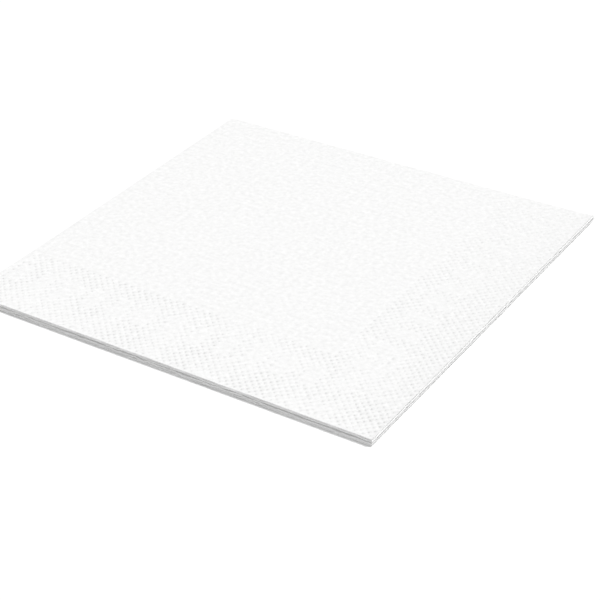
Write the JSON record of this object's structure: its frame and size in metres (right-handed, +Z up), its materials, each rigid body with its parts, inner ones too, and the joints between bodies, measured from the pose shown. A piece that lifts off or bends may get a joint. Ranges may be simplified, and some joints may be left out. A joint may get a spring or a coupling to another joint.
{
  "type": "embossed napkin",
  "caption": "Square paper napkin folded in four, with a dotted embossed border along its free edges, to wipe with or lay at a place setting.",
  "frame": {"origin": "centre of the folded square, on the underside", "axes": "+Z up out of the pile side; +X to the right free edge, away from the first fold; -Y to the front free edge, away from the second fold"},
  "size_m": [0.165, 0.165, 0.0022],
  "materials": {
    "tissue": "soft matt white tissue paper"
  },
  "bodies": {
    "root": {"napkin": "tissue"}
  },
  "joints": []
}
